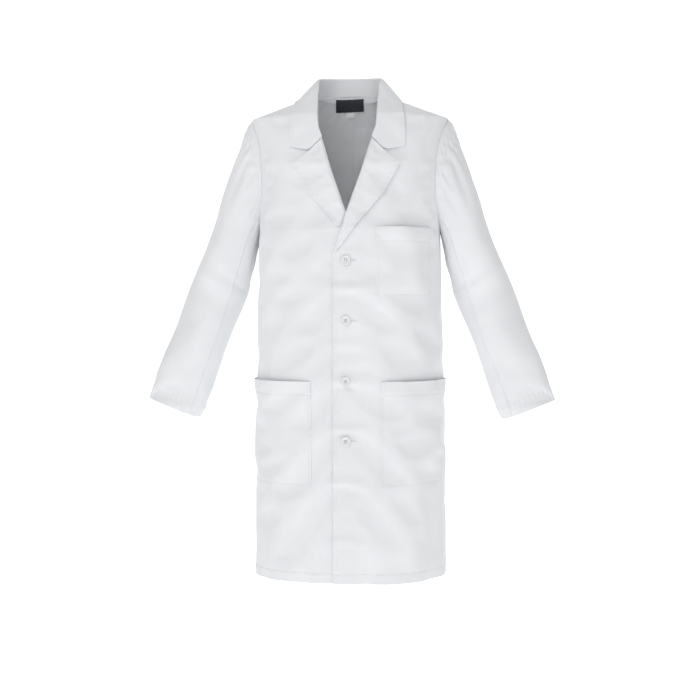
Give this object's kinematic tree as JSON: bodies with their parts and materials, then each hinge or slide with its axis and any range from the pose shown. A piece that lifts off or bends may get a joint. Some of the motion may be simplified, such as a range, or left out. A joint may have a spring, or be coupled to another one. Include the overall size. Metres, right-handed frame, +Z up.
{
  "type": "lab coat",
  "caption": "Knee-length white lab coat with notched lapels, set-in sleeves, a buttoned front, a chest pocket and two hip pockets.",
  "frame": {"origin": "middle of the neck opening, level with the neck ends of the shoulder seams, where a hanger or a stand holds the coat", "axes": "+Z up, the front faces -Y, the wearer's left is +X"},
  "size_m": [0.868, 0.2765, 1.0539],
  "materials": {
    "coat_cloth": "matt twill",
    "stitching": "matt thread",
    "button_plastic": "satin",
    "label_cloth": "woven satin"
  },
  "bodies": {
    "torso": {"left_back_panel": "coat_cloth", "right_back_panel": "coat_cloth", "back_vent_underlap": "coat_cloth", "upper_collar": "coat_cloth", "under_collar": "coat_cloth", "left_shoulder_panel": "coat_cloth", "right_shoulder_panel": "coat_cloth", "left_shoulder_facing": "coat_cloth", "right_shoulder_facing": "coat_cloth", "left_lapel": "coat_cloth", "right_lapel": "coat_cloth", "neck_label": "label_cloth", "size_tag": "stitching"},
    "left_front": {"left_front_panel": "coat_cloth", "left_front_facing": "coat_cloth", "chest_pocket": "coat_cloth", "left_lower_pocket": "coat_cloth", "buttonhole_1": "stitching", "buttonhole_2": "stitching", "buttonhole_3": "stitching", "buttonhole_4": "stitching"},
    "right_front": {"right_front_panel": "coat_cloth", "right_front_facing": "coat_cloth", "right_lower_pocket": "coat_cloth"},
    "left_sleeve": {"left_top_sleeve_upper": "coat_cloth", "left_under_sleeve_upper": "coat_cloth"},
    "left_forearm": {"left_top_sleeve_lower": "coat_cloth", "left_under_sleeve_lower": "coat_cloth"},
    "right_sleeve": {"right_top_sleeve_upper": "coat_cloth", "right_under_sleeve_upper": "coat_cloth"},
    "right_forearm": {"right_top_sleeve_lower": "coat_cloth", "right_under_sleeve_lower": "coat_cloth"},
    "button_1": {"button_1": "button_plastic", "button_thread_1": "stitching"},
    "button_2": {"button_2": "button_plastic", "button_thread_2": "stitching"},
    "button_3": {"button_3": "button_plastic", "button_thread_3": "stitching"},
    "button_4": {"button_4": "button_plastic", "button_thread_4": "stitching"}
  },
  "joints": [
    {"name": "left_sleeve_raise", "type": "hinge", "parent": "torso", "child": "left_sleeve", "pos_m": [0.206, 0, -0.05], "axis": [0, -1, 0], "range_deg": [0, 60]},
    {"name": "right_sleeve_raise", "type": "hinge", "parent": "torso", "child": "right_sleeve", "pos_m": [-0.206, 0, -0.05], "axis": [0, 1, 0], "range_deg": [0, 60]},
    {"name": "left_elbow_bend", "type": "hinge", "parent": "left_sleeve", "child": "left_forearm", "pos_m": [0.279, -0.053, -0.3908], "axis": [-0.9352, 0, -0.3541], "range_deg": [0, 80]},
    {"name": "right_elbow_bend", "type": "hinge", "parent": "right_sleeve", "child": "right_forearm", "pos_m": [-0.279, -0.053, -0.3908], "axis": [-0.9352, 0, 0.3541], "range_deg": [0, 80]},
    {"name": "left_front_open", "type": "hinge", "parent": "torso", "child": "left_front", "pos_m": [0.1919, 0, -0.331], "axis": [-0.0196, 0, 0.9998], "range_deg": [0, 30], "deforming": ["buttonhole_1", "buttonhole_2", "buttonhole_3", "buttonhole_4"]},
    {"name": "right_front_open", "type": "hinge", "parent": "torso", "child": "right_front", "pos_m": [-0.1919, 0, -0.331], "axis": [0.0196, 0, 0.9998], "range_deg": [-20, 0]},
    {"name": "button_1_turn", "type": "hinge", "parent": "right_front", "child": "button_1", "pos_m": [0, -0.14, -0.347], "axis": [0, -1, 0], "range_deg": [-30, 30]},
    {"name": "button_2_turn", "type": "hinge", "parent": "right_front", "child": "button_2", "pos_m": [0, -0.14, -0.4685], "axis": [0, -1, 0], "range_deg": [-30, 30]},
    {"name": "button_3_turn", "type": "hinge", "parent": "right_front", "child": "button_3", "pos_m": [0, -0.14, -0.59], "axis": [0, -1, 0], "range_deg": [-30, 30]},
    {"name": "button_4_turn", "type": "hinge", "parent": "right_front", "child": "button_4", "pos_m": [0, -0.14, -0.7115], "axis": [0, -1, 0], "range_deg": [-30, 30]}
  ],
  "couplings": [
    {"joint": "right_front_open", "follows": "left_front_open", "ratio": -0.65}
  ]
}
